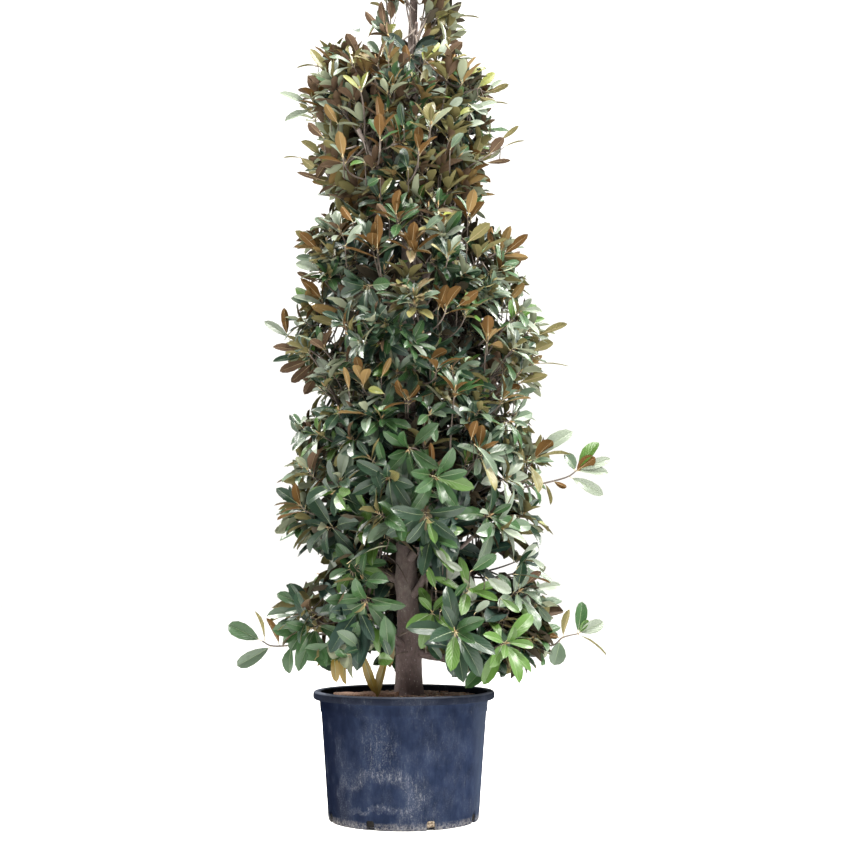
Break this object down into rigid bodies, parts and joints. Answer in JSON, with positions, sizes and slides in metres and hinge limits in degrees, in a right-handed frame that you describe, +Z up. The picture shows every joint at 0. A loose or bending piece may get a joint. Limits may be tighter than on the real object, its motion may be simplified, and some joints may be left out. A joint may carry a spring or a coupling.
{
  "type": "potted magnolia tree",
  "caption": "Young columnar evergreen magnolia, clothed in foliage to its foot, in a round blue nursery pot.",
  "frame": {"origin": "centre of the pot's flat underside, at the level it stands on", "axes": "+Z up along the trunk; -Y towards the front of the tree, the side that the picture shows; +X to its right"},
  "size_m": [1.4283, 1.1609, 3.7179],
  "materials": {
    "pot_plastic": "scuffed satin",
    "soil": "moist crumbly potting soil",
    "bark": "matt, finely fissured",
    "leaf_green": "waxy gloss above",
    "leaf_rust": "felted below"
  },
  "bodies": {
    "root": {"pot": "pot_plastic", "root_ball": "soil", "trunk": "bark", "bough_01": "bark", "bough_02": "bark", "bough_03": "bark", "bough_04": "bark", "bough_05": "bark", "bough_06": "bark", "bough_07": "bark", "bough_08": "bark", "bough_09": "bark", "bough_10": "bark", "bough_11": "bark", "bough_12": "bark", "bough_13": "bark", "bough_14": "bark", "foliage_01": "leaf_green", "foliage_02": "leaf_green", "foliage_03": "leaf_green", "foliage_04": "leaf_green", "foliage_05": "leaf_green", "foliage_06": "leaf_green", "foliage_07": "leaf_green", "foliage_08": "leaf_green", "foliage_09": "leaf_green", "foliage_10": "leaf_green", "foliage_11": "leaf_green", "foliage_12": "leaf_green", "foliage_13": "leaf_green", "foliage_14": "leaf_green", "foliage_15": "leaf_rust", "foliage_16": "leaf_rust", "foliage_17": "leaf_rust", "foliage_18": "leaf_rust", "foliage_19": "leaf_rust", "foliage_leader": "leaf_rust"}
  },
  "joints": []
}
